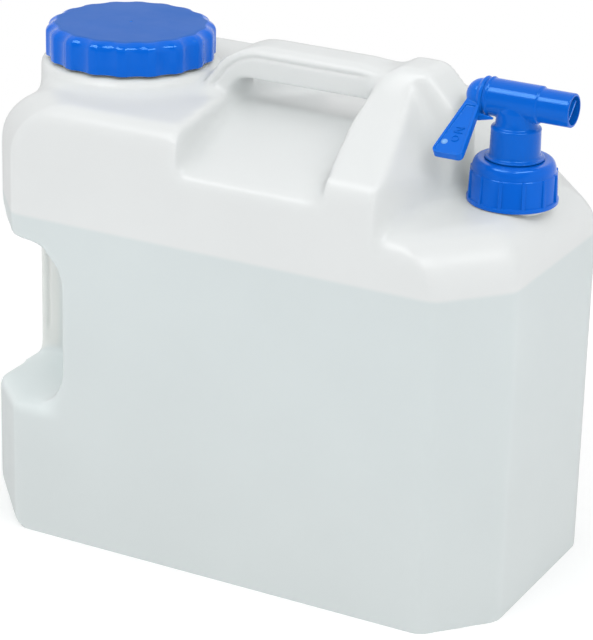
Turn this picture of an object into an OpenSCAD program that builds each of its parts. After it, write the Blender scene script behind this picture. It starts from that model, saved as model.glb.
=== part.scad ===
// Jerry can: a blow-moulded water can with a wide screw lid, a moulded carry handle,
// a grip bar in one end and a plug tap held on its own neck by a union nut.
// +X runs along the can towards the tap, +Z is up, the origin is the middle of the base.

/* [Can] */
// Length of the can
body_l = 360; // [330:5:400]
// Width across the broad faces
body_w = 204; // [190:2:230]
// Height of the shelf that carries the tap
shelf_h = 250; // [235:5:280]
// Rise of the shoulder with the filling neck above the shelf
shoulder_rise = 40; // [36:1:46]
// Rise of the carry handle above the shoulder
handle_rise = 32; // [30:1:38]
// Length of each corner chamfer along the can
chamfer_x = 34; // [26:1:40]
// Length of each corner chamfer across the can
chamfer_y = 40; // [30:1:46]
// Wall of the blown shell
wall = 2.2; // [1.8:0.1:2.8]

/* [Handles] */
// Width of the carry handle
handle_w = 32; // [28:1:36]
// Thickness of the carry handle
handle_t = 18.5; // [17:0.5:21]
// Width of the grip bar at the end
grip_w = 36; // [32:1:40]
// Thickness of the grip bar
grip_t = 30; // [26:1:33]
// How far the end recess reaches into the can
grip_reach = 69; // [64:1:76]
// Height of the recess floor above the base
grip_low = 89; // [80:1:95]
// Height of the recess roof above the base
grip_high = 199; // [190:1:205]

/* [Filling neck] */
// Outer radius of the lid
lid_r = 54.3; // [52:0.1:56]
// Height of the lid
lid_h = 21.2; // [20:0.1:24]
// Thread pitch of the lid
lid_pitch = 8; // [7:0.5:8]

/* [Tap] */
// Outer radius of the union nut
nut_r = 27.9; // [27:0.1:30]
// Thread pitch of the union nut
nut_pitch = 6; // [5:0.5:6]
// Outer radius of the tap barrel
barrel_r = 11.5; // [11.2:0.1:12.5]
// Length of the nozzle past the barrel
nozzle_l = 20.5; // [18:0.5:26]
// Length of the lever from the barrel's axis
lever_l = 50; // [40:1:52]
// Angle of the lever below level
lever_tilt = 32; // [20:1:35]

/* [Hidden] */
$fn = 72;
eps = 0.01;

shoulder_h = shelf_h + shoulder_rise;
handle_h = shoulder_h + handle_rise;
end_x = body_l / 2;
side_y = body_w / 2;
base_r = 12; // rounding of the base edges
shoulder_r = 14; // rounding along the shoulder
shoulder_end_r = 35; // rounding of the shoulder over the grip end
shelf_r = 12; // rounding along the shelf
shelf_end_r = 28; // rounding of the shelf over the tap end

// Filling neck and lid
fill_x = -end_x + lid_r + 4.7;
boss_r = lid_r + 3;
boss_h = 5;
fill_top = shoulder_h + 23;
fill_r = lid_r - 7.3;
lid_z = shoulder_h + 6.8;
lid_inner = fill_r + 2.6;
lid_plate = 2.5;

// Tap neck, nut and tap
tap_inset = 32; // from the tap's axis to the end of the can
tap_x = end_x - tap_inset;
tap_neck_r = nut_r - 5.9;
tap_neck_h = 20;
nut_z = shelf_h + 0.9;
nut_h = 26.1;
nut_inner = tap_neck_r + 2.2;
washer_r = tap_neck_r + 0.7;
nut_plate = 2.6;
nut_hole = 16.2;
tail_r = 15.5;
nut_top = nut_z + nut_h;
socket_h = 18.3;
disc_t = 1.6;
socket_top = nut_top + 0.3 + disc_t + socket_h;
axis_z = socket_top + 15.3;
barrel_x0 = tap_x - 15.8;
barrel_x1 = tap_x + 15.8;
nozzle_r = barrel_r - 1.1;
plug_r = barrel_r - 2.5;
plug_gap = 0.05;

// Pocket under the handle and the hump behind the tap
lid_flat = 38.7; // shoulder between the lid and the pockets
hump_back = 33; // from the hump's right face to the tap's axis
hump_l = 50;
pocket_x0 = fill_x + lid_r + lid_flat;
pocket_x1 = tap_x - hump_back - hump_l;
pocket_top = shoulder_h - 8;
pocket_rim = shoulder_h - 27;
hump_x1 = tap_x - hump_back;
hump_h = handle_h + 4;
hump_top_w = 32;
hump_rim = shoulder_h - 14;

// ---- outlines ----------------------------------------------------------------

function unit(v) = v / norm(v);

// Points of the arc that rounds the corner q between p and s with radius r
function corner(p, q, s, r, n = 6) =
    r < 0.05 ? [q] :
    let (
        u = unit(p - q),
        v = unit(s - q),
        half = acos(u * v) / 2,
        c = q + unit(u + v) * r / sin(half),
        a = q + u * r / tan(half) - c,
        b = q + v * r / tan(half) - c,
        start = atan2(a.y, a.x),
        turn = (atan2(b.y, b.x) - start + 540) % 360 - 180
    )
    [for (i = [0:n]) c + r * [cos(start + turn * i / n), sin(start + turn * i / n)]];

// Closed outline from corners given as [x, y, radius]
function rounded(pts) =
    let (n = len(pts))
    [for (i = [0:n - 1])
        let (p = pts[(i + n - 1) % n], q = pts[i], s = pts[(i + 1) % n])
        each corner([p.x, p.y], [q.x, q.y], [s.x, s.y], q.z)];

// Solid with its outline in the X-Z plane, from y0 to y1
module across(outline, y0, y1) {
    translate([0, y1, 0])
        rotate([90, 0, 0])
            linear_extrude(y1 - y0)
                polygon(outline);
}

// Solid with its outline in the Y-Z plane, from x0 to x1
module along(outline, x0, x1) {
    translate([x0, 0, 0])
        rotate([90, 0, 90])
            linear_extrude(x1 - x0)
                polygon(outline);
}

// Eight-sided plan of the can, drawn in by t
function plan(t) =
    let (
        a = end_x - t,
        b = side_y - t,
        n = unit([chamfer_y, chamfer_x]),
        d = n * [end_x, side_y - chamfer_y] - t,
        y = (d - n.x * a) / n.y,
        x = (d - n.y * b) / n.x,
        r = 9 - t
    )
    rounded([[a, -y, r], [a, y, r], [x, b, r], [-x, b, r],
        [-a, y, r], [-a, -y, r], [-x, -b, r], [x, -b, r]]);

module plan_block(t, z0, z1) {
    translate([0, 0, z0])
        linear_extrude(z1 - z0)
            polygon(plan(t));
}

// ---- the can, outside for t = 0 and inside for t = wall -----------------------

module tub(t) {
    intersection() {
        plan_block(t, t, shelf_h - t);
        across(rounded([
            [-end_x + t, t, base_r - t], [end_x - t, t, base_r - t],
            [end_x - t, shelf_h - t, shelf_end_r - t], [-end_x + t, shelf_h - t, 0]]),
            -side_y, side_y);
        along(rounded([
            [-side_y + t, t, base_r - t], [side_y - t, t, base_r - t],
            [side_y - t, shelf_h - t, shelf_r - t], [-side_y + t, shelf_h - t, shelf_r - t]]),
            -end_x, end_x);
    }
}

module shoulder(t) {
    low = grip_high + 10;
    x1 = pocket_x0 - t;
    intersection() {
        plan_block(t, low, shoulder_h - t);
        across(rounded([
            [-end_x + t, low, 0], [x1, low, 0],
            [x1, shoulder_h - t, 5], [-end_x + t, shoulder_h - t, shoulder_end_r - t]]),
            -side_y, side_y);
        along(rounded([
            [-side_y + t, low, 0], [side_y - t, low, 0],
            [side_y - t, shoulder_h - t, shoulder_r - t],
            [-side_y + t, shoulder_h - t, shoulder_r - t]]),
            -end_x, end_x);
        // the right end leans back from the broad faces to the handle's foot
        translate([0, 0, low])
            linear_extrude(shoulder_rise + 90)
                polygon([[-end_x, -side_y], [x1, -side_y], [x1 - 12, -handle_w / 2],
                    [x1 - 12, handle_w / 2], [x1, side_y], [-end_x, side_y]]);
    }
    translate([fill_x, 0, low])
        cylinder(r = boss_r - t, h = shoulder_h + boss_h - 1.5 - low - t);
    translate([fill_x, 0, shoulder_h + boss_h - 1.5 - t - eps])
        cylinder(r1 = boss_r - t, r2 = boss_r - 1.5 - t, h = 1.5 + eps);
}

// Ridge between the two pockets: highest under the handle, falling to both broad faces
module pocket_floor(t) {
    low = grip_high + 10;
    intersection() {
        plan_block(t, low, pocket_top + 1);
        along(rounded([
            [-side_y + t, low, 0], [side_y - t, low, 0],
            [side_y - t, pocket_rim - t, 8], [0, pocket_top - t, 30],
            [-side_y + t, pocket_rim - t, 8]]),
            pocket_x0 - 30, hump_x1 - 20);
    }
}

module hump(t) {
    low = grip_high + 10;
    x0 = pocket_x1 + t;
    x1 = hump_x1 - t;
    intersection() {
        across(rounded([
            [x0, low, 0], [x1, low, 0], [x1, hump_h - t, 26], [x0, hump_h - t, 12]]),
            -side_y, side_y);
        along(rounded([
            [-side_y + t, low, 0], [side_y - t, low, 0], [side_y - t, hump_rim - t, 14],
            [hump_top_w - t / 2, hump_h - t, 14], [-hump_top_w + t / 2, hump_h - t, 14],
            [-side_y + t, hump_rim - t, 14]]),
            x0 - 1, x1 + 1);
        // the right face leans back towards the broad faces, clear of the lever
        translate([0, 0, low])
            linear_extrude(hump_h - low + 1)
                polygon([[x0, -side_y], [x1 - 11, -side_y], [x1 - 5, -handle_w * 1.4],
                    [x1, -handle_w / 2], [x1, handle_w / 2], [x1 - 5, handle_w * 1.4],
                    [x1 - 11, side_y], [x0, side_y]]);
    }
}

handle_x0 = pocket_x0 - 36;

// Outer side of the carry handle's loop, drawn in by t
function handle_outline(t) = rounded([
    [handle_x0 + t, shoulder_h - 25, 0],
    [handle_x0 + t, shoulder_h - 2, 0],
    [handle_x0 + 26 + t / 2, handle_h - t, 40 - t],
    [pocket_x1 + 20, handle_h - t, 0],
    [pocket_x1 + 20, shoulder_h - 25, 0]]);

// Finger hole of the carry handle, drawn out by t
function finger_outline(t) = rounded([
    [pocket_x0 - 12 - t, pocket_top - 30, 0],
    [pocket_x1 + t, pocket_top - 30, 0],
    [pocket_x1 + t, handle_h - handle_t + t, 2],
    [pocket_x0 - 12 - t, handle_h - handle_t + t, 13 + t]]);

module handle(t) {
    w = handle_w / 2 - t;
    intersection() {
        difference() {
            across(handle_outline(t), -w, w);
            across(finger_outline(t), -w - 1, w + 1);
        }
        along(rounded([
            [-w, shoulder_h - 26, 0], [w, shoulder_h - 26, 0],
            [w, handle_h - t, 8 - t], [-w, handle_h - t, 8 - t]]),
            handle_x0 - 1, pocket_x1 + 21);
    }
}

// Shallow groove along both sides of the handle
module handle_groove() {
    for (side = [-1, 1])
        difference() {
            across(handle_outline(5.5), side * (handle_w / 2 + 0.2) - 1.2,
                side * (handle_w / 2 + 0.2) + 1.2);
            across(handle_outline(8), side * handle_w / 2 - 3, side * handle_w / 2 + 3);
            translate([handle_x0 - 5, -50, shoulder_h - 40])
                cube([60, 100, 47]);
            translate([pocket_x1 - 16, -50, shoulder_h - 40])
                cube([80, 100, 120]);
        }
}

// Recess at the grip end: a pocket on each side of the bar, and the finger hole behind it
module grip_recess(t) {
    x1 = -end_x + grip_reach + t;
    low = grip_low - t;
    high = grip_high + t;
    mouth = rounded([
        [-end_x - 20, low - 10, 0], [-end_x, low - 10, 8], [-end_x + 12, low, 20],
        [x1, low, 26 + t], [x1, high, 26 + t], [-end_x + 12, high, 20],
        [-end_x, high + 10, 8], [-end_x - 20, high + 10, 0]]);
    for (side = [-1, 1])
        across(mouth, side > 0 ? grip_w / 2 - t : -side_y - 1,
            side > 0 ? side_y + 1 : -grip_w / 2 + t);
    across(rounded([
        [-end_x + grip_t - t, low + 10, 12 + t], [x1 - 4, low + 10, 12 + t],
        [x1 - 4, high - 10, 12 + t], [-end_x + grip_t - t, high - 10, 12 + t]]),
        -side_y, side_y);
}

// Groove down both sides of the grip bar
module grip_groove() {
    for (side = [-1, 1])
        translate([-end_x + 5, side * grip_w / 2 - 1, grip_low + 14])
            cube([4, 2, grip_high - grip_low - 28]);
}

module form(t) {
    difference() {
        union() {
            tub(t);
            shoulder(t);
            pocket_floor(t);
            hump(t);
            handle(t);
        }
        grip_recess(t);
    }
}

// ---- threads -----------------------------------------------------------------

// Right-hand thread ridge of height depth on a wall of radius r. It fades in and out
// at its ends, and bites 0.5 into the wall. A negative depth points inwards.
module thread(r, depth, pitch, turns, z, foot, crest, phase = 0) {
    n = round(turns * 30);
    sgn = depth > 0 ? 1 : -1;
    rings = [for (i = [0:n])
        let (
            a = phase + 360 * turns * i / n,
            h = depth * max(0.08, min(1, i / 4, (n - i) / 4)),
            mid = z + pitch * turns * i / n
        )
        for (p = [[r - sgn * 0.5, -foot / 2], [r - sgn * 0.5, foot / 2],
                [r + h, crest / 2], [r + h, -crest / 2]])
            [p.x * cos(a), p.x * sin(a), mid + p.y]];
    sides = [for (i = [0:n - 1], k = [0:3])
        let (a = 4 * i + k, b = 4 * i + (k + 1) % 4)
        each [[a, b, b + 4], [a, b + 4, a + 4]]];
    ends = [[0, 3, 2], [0, 2, 1], [4 * n, 4 * n + 1, 4 * n + 2], [4 * n, 4 * n + 2, 4 * n + 3]];
    faces = concat(sides, ends);
    polyhedron(rings, depth > 0 ? [for (f = faces) [f.x, f.z, f.y]] : faces);
}

// ---- pieces ------------------------------------------------------------------

module can_body() {
    color([0.93, 0.95, 0.94]) {
        difference() {
            union() {
                form(0);
                translate([fill_x, 0, shoulder_h])
                    cylinder(r = fill_r, h = fill_top - shoulder_h);
                translate([tap_x, 0, shelf_h - 1])
                    cylinder(r = tap_neck_r, h = tap_neck_h + 1);
            }
            form(wall);
            translate([fill_x, 0, shoulder_h - 20])
                cylinder(r = fill_r - 3.5, h = 60);
            translate([tap_x, 0, shelf_h - 20])
                cylinder(r = tap_neck_r - 3.4, h = 60);
            handle_groove();
            grip_groove();
        }
        translate([fill_x, 0, 0])
            thread(fill_r, 2, lid_pitch, 1.25, shoulder_h + 10.4, 3, 1.4);
        translate([tap_x, 0, 0])
            thread(tap_neck_r, 1.7, nut_pitch, 1.75, shelf_h + 7, 2.4, 1.1);
    }
}

module lid() {
    flutes = 18;
    flute_r = 16;
    top = lid_z + lid_h;
    color([0.09, 0.36, 0.86]) {
        translate([fill_x, 0, 0])
            difference() {
                translate([0, 0, lid_z])
                    rotate_extrude()
                        polygon(concat([[0, 0], [lid_r, 0]],
                            corner([lid_r, 0], [lid_r, lid_h], [0, lid_h], 5), [[0, lid_h]]));
                translate([0, 0, lid_z - 1])
                    cylinder(r = lid_inner, h = lid_h - lid_plate + 1);
                for (i = [0:flutes - 1])
                    rotate(i * 360 / flutes + 5)
                        translate([lid_r + flute_r - 1.6, 0, lid_z - 1])
                            cylinder(r = flute_r, h = lid_h + 2);
                translate([0, 0, top - 0.4])
                    cylinder(r = 1.6, h = 1);
            }
        translate([fill_x, 0, 0])
            thread(lid_inner, -2, lid_pitch, 1, shoulder_h + 10.4 + 0.2, 3, 1.4, 180);
    }
}

module lid_seal() {
    color([0.86, 0.88, 0.88])
        translate([fill_x, 0, fill_top + 0.3])
            difference() {
                cylinder(r = lid_inner - 0.4, h = lid_z + lid_h - lid_plate - fill_top - 0.6);
                translate([0, 0, -1])
                    cylinder(r = fill_r - 3.5, h = 10);
            }
}

module tap_nut() {
    ribs = 12;
    wall_r = nut_r - 1.5;
    foot = 2.6;
    wall_top = nut_h - 7.5;
    color([0.07, 0.38, 0.90])
        translate([tap_x, 0, nut_z]) {
            difference() {
                union() {
                    rotate_extrude()
                        polygon(concat(
                            [[0, 0], [nut_r, 0], [nut_r, foot], [wall_r, foot + 0.4],
                                [wall_r, wall_top]],
                            [for (a = [0:15:90])
                                [wall_r - 0.8 - 3.6 * (1 - cos(a)), wall_top + 0.8
                                    + (nut_h - wall_top - 0.8) * sin(a)]],
                            [[0, nut_h]]));
                    for (i = [0:ribs - 1])
                        rotate(i * 360 / ribs + 7)
                            translate([wall_r - 1, -1.2, foot - 0.5])
                                cube([2.2, 2.4, wall_top - foot]);
                }
                translate([0, 0, -1])
                    cylinder(r = nut_inner, h = wall_top + 0.4);
                translate([0, 0, -1])
                    cylinder(r = washer_r + 0.4, h = nut_h - nut_plate + 1);
                translate([0, 0, -1])
                    cylinder(r = nut_hole, h = nut_h + 2);
            }
            thread(nut_inner, -1.7, nut_pitch, 1.25, 7 - nut_pitch / 2 - 0.9 + 0.2, 2.4, 1.1);
        }
}

module tap_body() {
    color([0.07, 0.40, 0.92])
        difference() {
            union() {
                // tail with its snap bead, disc, socket and neck
                translate([tap_x, 0, 0])
                    rotate_extrude()
                        polygon(concat(
                            [[0, shelf_h + 4], [tail_r - 1, shelf_h + 4], [tail_r, shelf_h + 6],
                                [tail_r, nut_top - nut_plate - 2.4],
                                [tail_r + 1.4, nut_top - nut_plate - 1.2],
                                [tail_r, nut_top - nut_plate - 0.3], [tail_r, nut_top + 0.3],
                                [tail_r + 2.6, nut_top + 0.3],
                                [tail_r + 2.6, nut_top + 0.3 + disc_t * 0.6],
                                [tail_r + 0.4, nut_top + 0.3 + disc_t],
                                [tail_r - 0.1, nut_top + 1.5 + disc_t]],
                            corner([tail_r - 0.1, nut_top], [tail_r - 0.4, socket_top],
                                [0, socket_top], 1.6),
                            [[barrel_r + 1.8, socket_top], [barrel_r + 1.2, socket_top + 4],
                                [barrel_r + 1.0, axis_z - 6], [0, axis_z - 6]]));
                // neck into the barrel
                intersection() {
                    translate([tap_x, 0, axis_z - 12])
                        cylinder(r = barrel_r + 1.0, h = 12);
                    translate([tap_x - 30, 0, axis_z])
                        rotate([0, 90, 0])
                            cylinder(r = barrel_r + 3, h = 60);
                }
                // barrel, its end collar and the nozzle
                translate([0, 0, axis_z])
                    rotate([0, 90, 0])
                        rotate_extrude()
                            polygon(concat(
                                [[0, barrel_x0 - 3.3], [barrel_r + 0.4, barrel_x0 - 3.3],
                                    [barrel_r + 0.9, barrel_x0 - 2.6],
                                    [barrel_r + 0.9, barrel_x0 - 0.8], [barrel_r, barrel_x0],
                                    [barrel_r, barrel_x1 - 0.6], [nozzle_r + 0.3, barrel_x1],
                                    [nozzle_r, barrel_x1 + 0.6]],
                                [[nozzle_r, barrel_x1 + nozzle_l - 0.6],
                                    [nozzle_r - 0.6, barrel_x1 + nozzle_l],
                                    [0, barrel_x1 + nozzle_l]]));
            }
            // bore of the plug, bore of the nozzle and the way up from the tail
            translate([barrel_x0 - 4, 0, axis_z])
                rotate([0, 90, 0])
                    cylinder(r = plug_r + plug_gap, h = barrel_x1 - barrel_x0 + 2);
            translate([barrel_x1 - 4, 0, axis_z])
                rotate([0, 90, 0])
                    cylinder(r = nozzle_r - 1.6, h = nozzle_l + 10);
            translate([tap_x, 0, shelf_h])
                cylinder(r = tail_r - 3, h = socket_top - shelf_h - 3);
            translate([tap_x, 0, shelf_h])
                cylinder(r = 7, h = axis_z - shelf_h);
            // notch in the disc's edge
            translate([tap_x + 16.2, -9, nut_top])
                cube([3, 2.4, 3]);
        }
}

module tap_washer() {
    z0 = shelf_h + tap_neck_h + 0.3;
    color([0.86, 0.88, 0.88])
        translate([tap_x, 0, z0])
            difference() {
                cylinder(r = washer_r, h = nut_top - nut_plate - 0.3 - z0);
                translate([0, 0, -1])
                    cylinder(r = tail_r + 1.8, h = 12);
            }
}

// Letters raised on the lever, drawn with strokes in a square of the given size
module letter_o(size) {
    difference() {
        cylinder(r = size / 2, h = 0.8, $fn = 40);
        translate([0, 0, -1])
            cylinder(r = size / 2 - 0.9, h = 3, $fn = 40);
    }
}

module letter_n(size) {
    for (side = [-1, 1])
        translate([side * (size / 2 - 0.9) - 0.45, -size / 2, 0])
            cube([0.9, size, 0.8]);
    rotate(atan2(size - 1.8, size))
        translate([-0.45, -size * 0.6, 0])
            cube([0.9, size * 1.2, 0.8]);
}

module tap_key() {
    key_x = tap_x - 25;
    half_tip = 10;
    half_root = 4.2;
    dome_r = barrel_r - 1.2;
    color([0.07, 0.40, 0.92])
        translate([0, 0, axis_z]) {
            difference() {
                // domed end, collar against the barrel's end, and the plug with its ring grooves
                rotate([0, 90, 0])
                    rotate_extrude()
                        polygon(concat(
                            [for (a = [0:10:90])
                                [dome_r * sin(a), key_x + 2.5 - dome_r * cos(a)]],
                            [[barrel_r - 0.4, key_x + 2.5], [barrel_r + 0.1, key_x + 3],
                                [barrel_r + 0.1, key_x + 5], [barrel_r - 0.6, key_x + 5.5],
                                [plug_r, key_x + 5.5],
                                [plug_r, key_x + 11], [plug_r - 1.4, key_x + 11],
                                [plug_r - 1.4, key_x + 13], [plug_r, key_x + 13],
                                [plug_r, barrel_x1 - 6.2], [plug_r - 1.4, barrel_x1 - 6.2],
                                [plug_r - 1.4, barrel_x1 - 4.2], [plug_r, barrel_x1 - 4.2],
                                [plug_r, barrel_x1 - 2.4], [0, barrel_x1 - 2.4]]));
                translate([tap_x - 11, 0, 0])
                    rotate([0, 90, 0])
                        cylinder(r = plug_r - 2.6, h = 60);
                translate([tap_x, 0, -20])
                    cylinder(r = 5, h = 20);
            }
            rotate([lever_tilt, 0, 0]) {
                // lever with a raised rim, widening to its tip
                difference() {
                    translate([key_x, 0, 0])
                        linear_extrude(3.6)
                            polygon(rounded([[-half_root, -6, 0], [-half_tip, -lever_l, 3.4],
                                [half_tip, -lever_l, 3.4], [half_root, -6, 0]]));
                    translate([key_x, 0, 2.7])
                        linear_extrude(3)
                            polygon(rounded([[-half_root + 1.3, -11.5, 0.5],
                                [-half_tip + 1.5, -lever_l + 1.4, 2.4],
                                [half_tip - 1.5, -lever_l + 1.4, 2.4],
                                [half_root - 1.3, -11.5, 0.5]]));
                }
                translate([key_x + 0.6, -lever_l + 12.4, 2.5])
                    rotate(-90)
                        letter_o(5.2);
                translate([key_x + 0.6, -lever_l + 19, 2.5])
                    rotate(-90)
                        letter_n(5);
            }
            // stop fin beside the barrel
            rotate([45, 0, 0])
                translate([0, 0, -1.1])
                    linear_extrude(2.2)
                        polygon([[key_x + 2, -barrel_r + 3], [key_x + 2, -barrel_r - 4.6],
                            [key_x + 14, -barrel_r - 2.6], [key_x + 14, -barrel_r - 1.4],
                            [key_x + 4.4, -barrel_r - 1.4], [key_x + 4.4, -barrel_r + 3]]);
            // web that runs on through the nozzle
            rotate([45, 0, 0])
                translate([tap_x - 12, -plug_r + 2.2, -0.6])
                    cube([barrel_x1 + nozzle_l - 1 - tap_x + 12, 2 * plug_r - 4.4, 1.2]);
        }
}

module key_rings() {
    color([0.12, 0.12, 0.13])
        for (x = [tap_x - 13, barrel_x1 - 5.2])
            translate([x, 0, axis_z])
                rotate([0, 90, 0])
                    rotate_extrude()
                        translate([plug_r - 0.68, 0])
                            circle(r = 0.7, $fn = 24);
}

can_body();
lid();
lid_seal();
tap_nut();
tap_body();
tap_washer();
tap_key();
key_rings();
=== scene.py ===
"""Dresses the jerry can: a blow-moulded can, its screw lid and a plug tap on its neck."""

import math

import bmesh
import bpy
from mathutils import Matrix, Vector


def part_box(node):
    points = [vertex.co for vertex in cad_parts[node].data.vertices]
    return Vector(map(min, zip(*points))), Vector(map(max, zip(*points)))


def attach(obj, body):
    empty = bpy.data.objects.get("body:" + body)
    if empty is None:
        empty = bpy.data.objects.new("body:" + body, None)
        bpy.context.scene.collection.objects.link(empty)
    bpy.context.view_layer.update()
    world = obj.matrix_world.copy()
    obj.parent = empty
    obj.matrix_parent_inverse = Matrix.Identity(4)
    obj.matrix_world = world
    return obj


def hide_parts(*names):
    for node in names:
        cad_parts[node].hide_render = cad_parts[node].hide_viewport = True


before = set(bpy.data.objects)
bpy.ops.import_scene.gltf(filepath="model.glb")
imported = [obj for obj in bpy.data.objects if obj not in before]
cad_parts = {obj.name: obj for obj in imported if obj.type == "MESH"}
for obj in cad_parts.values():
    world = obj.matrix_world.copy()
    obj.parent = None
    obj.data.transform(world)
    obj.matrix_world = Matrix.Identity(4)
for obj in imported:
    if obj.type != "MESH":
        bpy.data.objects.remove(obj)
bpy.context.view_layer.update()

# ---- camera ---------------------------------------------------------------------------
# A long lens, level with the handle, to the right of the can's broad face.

view_azimuth = math.radians(27.58)
view_elevation = math.radians(21.89)
view_roll = math.radians(1.49)
eye = Vector((0.7596, -1.4480, 0.7978))

camera_data = bpy.data.cameras.new("camera")
camera_data.sensor_width = 36
camera_data.lens = 154.485
camera_data.clip_end = 20
camera = bpy.data.objects.new("camera", camera_data)
bpy.context.scene.collection.objects.link(camera)
back = Vector((
    math.sin(view_azimuth) * math.cos(view_elevation),
    -math.cos(view_azimuth) * math.cos(view_elevation),
    math.sin(view_elevation),
))
camera.matrix_world = (
    Matrix.Translation(eye)
    @ back.to_track_quat("Z", "Y").to_matrix().to_4x4()
    @ Matrix.Rotation(view_roll, 4, "Z")
)
bpy.context.scene.camera = camera
bpy.context.scene.view_settings.view_transform = "Standard"

# ---- studio ---------------------------------------------------------------------------
# A round pale floor in a white room that is dark above the front, as gloss shows it. Two
# soft boxes high in front fill the shadows, and two brighter ones give only the shine.


def node(tree, kind, place, **settings):
    """A shader node with its settings and the values of its inputs."""
    made = tree.nodes.new(kind)
    made.location = place
    for key, value in settings.items():
        if key in made.inputs:
            made.inputs[key].default_value = value
        else:
            setattr(made, key, value)
    return made


def feed(tree, socket, value):
    """Links an input to another node's output, or sets it to a plain value."""
    if isinstance(value, bpy.types.NodeSocket):
        tree.links.new(value, socket)
    else:
        socket.default_value = value


def span(tree, value, low, high, place, start=0.0, stop=1.0, kind="SMOOTHSTEP"):
    """Goes from start to stop as a value goes from low to high, softly or LINEAR."""
    step = node(tree, "ShaderNodeMapRange", place, interpolation_type=kind)
    for name, number in (("Value", value), ("From Min", low), ("From Max", high),
                         ("To Min", start), ("To Max", stop)):
        feed(tree, step.inputs[name], number)
    return step.outputs["Result"]


def blend(tree, factor, first, second, place, kind="RGBA"):
    """Goes from the first colour or value to the second as a factor goes from 0 to 1."""
    mix = node(tree, "ShaderNodeMix", place, data_type=kind)
    for name, value in (("Factor", factor), ("A", first), ("B", second)):
        feed(tree, mix.inputs[name], value)
    return mix.outputs["Result"]


def chain(tree, operation, values, place):
    """Takes values together with one operation, from the first to the last."""
    total = values[0]
    for i, value in enumerate(values[1:]):
        step = node(tree, "ShaderNodeMath", (place[0] + 180 * i, place[1]),
                    operation=operation)
        feed(tree, step.inputs[0], total)
        feed(tree, step.inputs[1], value)
        total = step.outputs["Value"]
    return total


sky_light = 0.83
dark_side = (0.179, -0.799, 0.574)
world = bpy.data.worlds.new("studio")
world.use_nodes = True
bpy.context.scene.world = world
sky = world.node_tree
look = node(sky, "ShaderNodeTexCoord", (-1300, -300))
front = node(sky, "ShaderNodeVectorMath", (-1100, -300), operation="DOT_PRODUCT")
sky.links.new(look.outputs["Generated"], front.inputs[0])
front.inputs[1].default_value = dark_side
dimmed = span(sky, front.outputs["Value"], 0.58, 0.8, (-900, -300), 1.0, 0.1)
# a gloss sees the dark side, and the light that lands is weaker than what is seen
rays = node(sky, "ShaderNodeLightPath", (-1100, 100)).outputs
room = blend(sky, rays["Is Glossy Ray"], 1.0, dimmed, (-600, -300), "FLOAT")
seen = chain(sky, "MAXIMUM", (rays["Is Camera Ray"], rays["Is Glossy Ray"],
                              rays["Is Transmission Ray"]), (-900, 100))
shader = sky.nodes["Background"]
shader.inputs["Color"].default_value = (1, 1, 1, 1)
feed(sky, shader.inputs["Strength"], blend(sky, seen, sky_light, room, (-300, 0), "FLOAT"))

floor_radius, floor_glow = 0.62, 0.29
floor_mesh = bpy.data.meshes.new("floor")
floor_shape = bmesh.new()
bmesh.ops.create_circle(floor_shape, cap_ends=True, segments=64, radius=floor_radius)
floor_shape.to_mesh(floor_mesh)
floor_shape.free()
floor = bpy.data.objects.new("floor", floor_mesh)
bpy.context.scene.collection.objects.link(floor)
floor_paint = bpy.data.materials.new("floor_paint")
floor_paint.use_nodes = True
paint = floor_paint.node_tree
paint.nodes.clear()
matt = node(paint, "ShaderNodeBsdfDiffuse", (0, 100), Color=(0.8, 0.8, 0.8, 1))
lit = node(paint, "ShaderNodeEmission", (0, -100), Color=(1, 1, 1, 1), Strength=floor_glow)
both = node(paint, "ShaderNodeAddShader", (200, 0))
end = node(paint, "ShaderNodeOutputMaterial", (400, 0))
paint.links.new(matt.outputs[0], both.inputs[0])
paint.links.new(lit.outputs[0], both.inputs[1])
paint.links.new(both.outputs[0], end.inputs["Surface"])
floor_mesh.materials.append(floor_paint)


def soft_box(name, place, width, height, power):
    """A rectangular lamp that looks at the can's shoulder."""
    data = bpy.data.lights.new(name, "AREA")
    data.shape = "RECTANGLE"
    data.size = width
    data.size_y = height
    data.energy = power
    lamp = bpy.data.objects.new(name, data)
    bpy.context.scene.collection.objects.link(lamp)
    towards = Vector((0, 0, 0.25)) - Vector(place)
    lamp.matrix_world = (
        Matrix.Translation(place) @ towards.to_track_quat("-Z", "Y").to_matrix().to_4x4()
    )
    return lamp


for name, place, power in (("left_fill", (-0.32, -0.98, 1.48), 3.9),
                           ("right_fill", (0.98, -0.31, 1.48), 3.6)):
    soft_box(name, place, 1.1, 0.4, power).visible_glossy = False
for name, place, height, power in (("left_shine", (-0.36, -0.82, 1.60), 0.62, 21.0),
                                   ("right_shine", (0.84, -0.42, 1.50), 0.34, 15.0)):
    soft_box(name, place, 1.1, height, power).visible_diffuse = False

# ---- can ------------------------------------------------------------------------------
# One blow-moulded shell of natural polyethylene: tub, shoulder, pockets, hump and handle
# are blown together, so every edge is soft. The water inside shows through the wall.

mm = 0.001
fill_x = sum(c.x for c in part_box("lid")) / 2 / mm
tap_x = sum(c.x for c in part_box("tap_nut")) / 2 / mm
half_length, half_width = (round(c / mm, 1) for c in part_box("can_body")[1][:2])
corner_x, corner_y = 34, 40
shelf_z, shoulder_z, handle_z, hump_z = 250, 290, 322, 325.6
grip_low, grip_high = 89, 199


def new_piece(name, mesh):
    """An object at the origin for a finished mesh."""
    made = bpy.data.objects.new(name, mesh)
    bpy.context.scene.collection.objects.link(made)
    return made


def soften(mesh, angle):
    """Shades a mesh smooth, and keeps edges sharp above an angle between their faces."""
    mesh.shade_smooth()
    mesh.set_sharp_from_angle(angle=math.radians(angle))


def shaped(name, shape, smooth=None):
    """Turns a bmesh into a piece, shaded smooth up to an angle between faces."""
    mesh = bpy.data.meshes.new(name)
    shape.to_mesh(mesh)
    shape.free()
    if smooth is not None:
        soften(mesh, smooth)
    return new_piece(name, mesh)


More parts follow.
